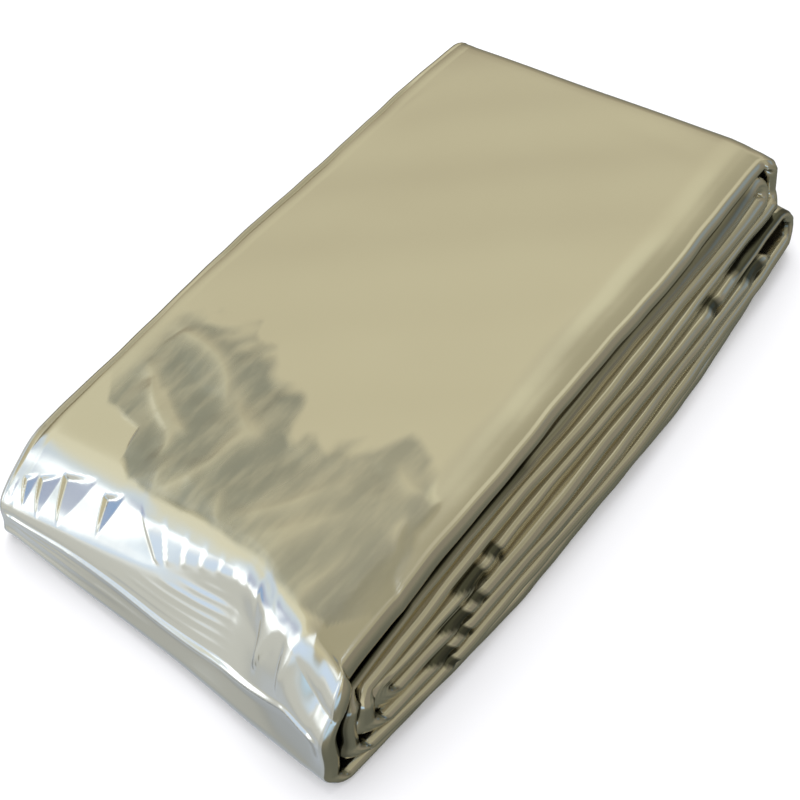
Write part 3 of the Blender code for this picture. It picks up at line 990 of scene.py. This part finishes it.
mesh = bpy.data.meshes.new("folded_foil")
mesh.from_pydata(np.concatenate(points) * MM, [], faces)
for name in FINISH_VALUES:
    values = np.concatenate([getattr(one, name) for one in rings]).astype(np.float32)
    mesh.attributes.new(name, "FLOAT", "POINT").data.foreach_set("value", values)
shape = bmesh.new()
shape.from_mesh(mesh)
bmesh.ops.recalc_face_normals(shape, faces=shape.faces)
shape.to_mesh(mesh)
shape.free()
mesh.shade_smooth()
folded_foil = bpy.data.objects.new("folded_foil", mesh)
bpy.context.scene.collection.objects.link(folded_foil)

# The finish: bright metallised film, champagne silver. It is nearly a mirror on the smooth top, and rougher
# where it has been crushed, where painted shade also makes its colour darker and greyer. The rims show the
# plies' many folded edges as fine lines.
FILM_COLOUR = (0.8, 0.755, 0.63)
FILM_COLOUR_DEEP = (0.76, 0.71, 0.585)
TONE_NOISE = (38.0, 3.0)
# The darker, greyer colour painted as shade on crushed film.
CRUSHED_SHADE_COLOUR = (0.385, 0.39, 0.35)
# The near-black olive towards which painted shade darkens the film.
SHADED_COLOUR = (0.12, 0.12, 0.09)
ROUGHNESS_RANGE = (0.17, 0.3)

# The painted shade of the crushed film is streaked along the pack and mottled. A noise has a scale and a
# detail.
STREAK_STRETCH = (0.3, 1.0, 1.0)
STREAK_TURN = math.radians(12.0)
STREAK_NOISE = (300.0, 5.0)
STREAK_RANGE = (0.3, 0.62)
STREAK_SHARES = (0.55, 1.0)

# The plies' folded edges run along the strip, from face to face. The film is finely creased all over.
PLY_LINES = 9.0
PLY_NOISE = (60.0, 3.0)
PLY_STRENGTH = 0.35
PLY_DEPTH = 0.00005
FINE_NOISE = (420.0, 4.0)
FINE_STRENGTHS = (0.08, 0.45)
FINE_DEPTH = 0.00012


def feed(node, inputs):
    """Feeds a node's inputs, each with a socket or a value. A colour is given without its opacity."""
    for name, value in dict(inputs).items():
        socket = node.inputs[name]
        if isinstance(value, bpy.types.NodeSocket):
            tree.links.new(value, socket)
        else:
            socket.default_value = (*value, 1.0) if socket.type == "RGBA" else value


def add_node(kind, inputs=(), result=0, **settings):
    """Adds a node to the tree in hand, and gives one of its results."""
    node = tree.nodes.new("ShaderNode" + kind)
    for name, value in settings.items():
        setattr(node, name, value)
    feed(node, inputs)
    return node.outputs[result]


def math_node(operation, *values):
    """A sum on sockets and numbers."""
    return add_node("Math", enumerate(values), operation=operation)


def map_range(value, start, stop, shares=(0.0, 1.0), kind="SMOOTHSTEP"):
    """A rise from the first share at one value to the second at another."""
    inputs = {"Value": value, "From Min": start, "From Max": stop, "To Min": shares[0], "To Max": shares[1]}
    return add_node("MapRange", inputs, interpolation_type=kind)


def colour_mix(share, first, second, label=""):
    """A colour mix by a share, each side a socket or a plain colour."""
    inputs = {"Factor": share, "A": first, "B": second}
    return add_node("Mix", inputs, "Result", data_type="RGBA", label=label)


def noise(scale, detail, stretch=(1.0, 1.0, 1.0), turn=0.0):
    """Noise fixed to the object, drawn out along it where asked."""
    place = add_node("TexCoord", result="Object")
    place = add_node("Mapping", {"Vector": place, "Scale": stretch, "Rotation": (0.0, 0.0, turn)})
    return add_node("TexNoise", {"Vector": place, "Scale": scale, "Detail": detail}, "Fac")


film = bpy.data.materials.new("champagne_silver_film")
film.use_nodes = True
tree = film.node_tree
crushed, shade, through = (add_node("Attribute", result="Fac", attribute_name=name) for name in FINISH_VALUES)
shade_mottle = map_range(noise(*STREAK_NOISE, STREAK_STRETCH, STREAK_TURN), *STREAK_RANGE, STREAK_SHARES)
film_tone = colour_mix(noise(*TONE_NOISE), FILM_COLOUR_DEEP, FILM_COLOUR)
# Painted shade: the crushed film's colour is darkened and greyed, in streaks and mottles.
film_tone = colour_mix(math_node("MULTIPLY", crushed, shade_mottle), film_tone, CRUSHED_SHADE_COLOUR)
ply_lines = math_node("SINE", math_node("MULTIPLY_ADD", through, PLY_LINES, noise(*PLY_NOISE)))
ply_bump = add_node("Bump", {"Strength": PLY_STRENGTH, "Distance": PLY_DEPTH, "Height": ply_lines})
fine_creases = {
    "Strength": map_range(crushed, 0.0, 1.0, FINE_STRENGTHS, "LINEAR"),
    "Distance": FINE_DEPTH,
    "Height": noise(*FINE_NOISE),
    "Normal": ply_bump,
}
# Painted shade: the shade attribute darkens the base colour in the rims' grooves, pockets, bends, gaps and
# the band under the crease.
film_looks = {
    "Metallic": 1.0,
    "Base Color": colour_mix(shade, film_tone, SHADED_COLOUR),
    "Roughness": map_range(crushed, 0.0, 1.0, ROUGHNESS_RANGE, "LINEAR"),
    "Normal": add_node("Bump", fine_creases),
}
feed(tree.nodes["Principled BSDF"], film_looks)
mesh.materials.append(film)

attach(folded_foil, "root")
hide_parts("foil_blanket")

# ==== The floor ====
# A wide, plain white table. The film mirrors the room below it and not this sheet of paper.

FLOOR_SIZE = 6.0
PAPER_COLOUR = (0.93, 0.93, 0.93)
PAPER_ROUGHNESS = 0.9

bpy.ops.object.select_all(action="DESELECT")
bpy.ops.mesh.primitive_plane_add(size=FLOOR_SIZE, location=(0.0, 0.0, 0.0))
floor = bpy.context.object
floor.name = "pale_floor"
floor.visible_glossy = False
paper = bpy.data.materials.new("pale_paper")
paper.use_nodes = True
tree = paper.node_tree
paper_looks = {"Base Color": PAPER_COLOUR, "Roughness": PAPER_ROUGHNESS, "Specular IOR Level": 0.0}
feed(tree.nodes["Principled BSDF"], paper_looks)
floor.data.materials.append(paper)

# ==== The room's light ====
# Soft light from a pale room. What the film mirrors is a warm pale wall on the far side, a bright cool window
# to the left of the near end, and dimmer surroundings to the right.

SURROUND_STEPS = table(
    "elevation colour",
    (-90, (0.118, 0.124, 0.102)),
    (-50, (0.152, 0.16, 0.133)),
    (-30, (0.18, 0.187, 0.156)),
    (-10, (0.232, 0.23, 0.183)),
    (10, (0.316, 0.299, 0.232)),
    (25, (0.438, 0.404, 0.308)),
    (38, (0.63, 0.607, 0.471)),
    (50, (0.684, 0.662, 0.515)),
    (65, (0.585, 0.57, 0.457)),
    (90, (0.426, 0.416, 0.33)),
)
# What stands round the table, in degrees: the azimuth of its middle from +X towards +Y, half width, lowest
# and highest elevation, and softness of its edges.
PATCHES = table(
    "name azimuth half_width low high soft colour",
    ("right_upper", -52, 54, 38, 80, 8, (0.434, 0.42, 0.314)),
    ("right_wall", -60, 46, 0, 44, 8, (0.272, 0.257, 0.212)),
    ("right_blue", -32, 12, 14, 38, 6, (0.277, 0.347, 0.404)),
    ("light_strip", 14, 12, 50, 62, 6, (0.757, 0.753, 0.6)),
    ("warm_wall", 92, 16, 30, 52, 6, (0.7, 0.692, 0.55)),
    ("left_floor", 135, 48, -90, -18, 7, (0.56, 0.628, 0.745)),
    ("left_table", 135, 48, -19, 16, 6, (0.655, 0.7, 0.745)),
    ("left_wall", 142, 36, 8, 38, 5, (0.74, 0.917, 1.197)),
    ("left_sill", 147, 14, 6, 10, 2, (0.95, 1, 1.05)),
    ("left_lath", 147, 6, 20, 31, 2.5, (1.05, 1.09, 1.18)),
    ("left_upper", 160, 11, 40, 88, 4, (1.25, 1.4, 1.62)),
    ("left_cream", 118, 24, 33, 50, 3, (0.853, 0.861, 0.73)),
    ("left_curtain", 119.5, 7.5, 9, 26, 2.5, (0.489, 0.563, 0.844)),
    ("left_blue", 117.5, 5.5, 8, 17.5, 3, (0.263, 0.466, 0.905)),
    ("left_pane", 156, 12, 12, 32, 4, (0.74, 0.937, 1.336)),
    ("window", 134, 6.5, 1.5, 28, 2.5, (1.75, 1.95, 2.3)),
    ("near_window", -150, 28, 4, 24, 5, (0.62, 0.88, 1.23)),
)

PALE = (1.0, 1.0, 0.99)
SOFT_LIGHT = (1.02, 1.02, 1.06)

world = bpy.data.worlds.new("pale_room")
bpy.context.scene.world = world
world.use_nodes = True
tree = world.node_tree
tree.nodes.clear()
direction = add_node("TexCoord", result="Generated")
upward = add_node("SeparateXYZ", {"Vector": direction}, "Z")
elevation = math_node("DEGREES", math_node("ARCSINE", upward))
surround = add_node("ValToRGB", {"Fac": map_range(elevation, -90.0, 90.0, kind="LINEAR")})
ramp_stops = surround.node.color_ramp.elements
ramp_stops.remove(ramp_stops[0])
for index, step in enumerate(SURROUND_STEPS):
    place = (step.elevation + 90.0) / 180.0
    stop = ramp_stops.new(place) if index else ramp_stops[0]
    stop.position = place
    stop.color = (*step.colour, 1.0)
seen = surround
for patch in PATCHES:
    angle = -math.radians(patch.azimuth)
    turned = add_node("VectorRotate", {"Vector": direction, "Angle": angle}, rotation_type="Z_AXIS")
    parts = add_node("SeparateXYZ", {"Vector": turned}).node.outputs
    aside = math_node("DEGREES", math_node("ABSOLUTE", math_node("ARCTAN2", parts["Y"], parts["X"])))
    within = map_range(aside, patch.half_width + patch.soft, patch.half_width - patch.soft)
    over = map_range(elevation, patch.low - patch.soft, patch.low + patch.soft)
    under = map_range(elevation, patch.high + patch.soft, patch.high - patch.soft)
    share = math_node("MULTIPLY", within, math_node("MULTIPLY", over, under))
    seen = colour_mix(share, seen, patch.colour, patch.name)

# The camera sees a plain pale backdrop, the film mirrors the room, and all else is lit evenly.
mirrored, backdrop, soft_light = (
    add_node("Background", {"Color": colour}) for colour in (seen, PALE, SOFT_LIGHT)
)
glossy = add_node("LightPath", result="Is Glossy Ray")
from_camera = add_node("LightPath", result="Is Camera Ray")
lit = add_node("MixShader", {"Fac": glossy, 1: soft_light, 2: mirrored})
whole = add_node("MixShader", {"Fac": from_camera, 1: lit, 2: backdrop})
feed(tree.nodes.new("ShaderNodeOutputWorld"), {"Surface": whole})
bpy.context.scene.view_settings.view_transform = "Standard"

# A large soft lamp over the far end throws the faint shadow in front of the pack. The film doesn't mirror it.
LAMP_STRENGTH = 1.1
LAMP_ANGLE = math.radians(50.0)
LAMP_AZIMUTH = math.radians(35.0)
LAMP_ELEVATION = math.radians(52.0)


def towards(azimuth, elevation):
    """The direction at an azimuth, from +X towards +Y, and an elevation."""
    level_part = math.cos(elevation)
    return Vector((math.cos(azimuth) * level_part, math.sin(azimuth) * level_part, math.sin(elevation)))


lamp = bpy.data.objects.new("soft_lamp", bpy.data.lights.new("soft_lamp", "SUN"))
lamp.data.energy = LAMP_STRENGTH
lamp.data.angle = LAMP_ANGLE
lamp.rotation_euler = towards(LAMP_AZIMUTH, LAMP_ELEVATION).to_track_quat("Z", "Y").to_euler()
lamp.visible_glossy = False
bpy.context.scene.collection.objects.link(lamp)

# ==== The camera ====
# It looks down on the pack from beyond its near right corner, close up and turned a little.

CAMERA_AZIMUTH = math.radians(-126.3)
CAMERA_ELEVATION = math.radians(49.86)
CAMERA_ROLL = math.radians(-15.64)
CAMERA_DISTANCE = 0.21517
CAMERA_TARGET = Vector((-0.00398, 0.00189, 0.0))
SENSOR_WIDTH = 36.0
FOCAL_LENGTH = 51.87
CLIP_START = 0.005

back = towards(CAMERA_AZIMUTH, CAMERA_ELEVATION)
level = towards(CAMERA_AZIMUTH + math.radians(90.0), 0.0)
upright = back.cross(level)
image_x = math.cos(CAMERA_ROLL) * level + math.sin(CAMERA_ROLL) * upright
image_y = math.cos(CAMERA_ROLL) * upright - math.sin(CAMERA_ROLL) * level
camera = bpy.data.objects.new("camera", bpy.data.cameras.new("camera"))
camera.data.sensor_width = SENSOR_WIDTH
camera.data.lens = FOCAL_LENGTH
camera.data.clip_start = CLIP_START
turned_to = Matrix((image_x, image_y, back)).transposed().to_4x4()
camera.matrix_world = Matrix.Translation(CAMERA_TARGET + back * CAMERA_DISTANCE) @ turned_to
bpy.context.scene.collection.objects.link(camera)
bpy.context.scene.camera = camera
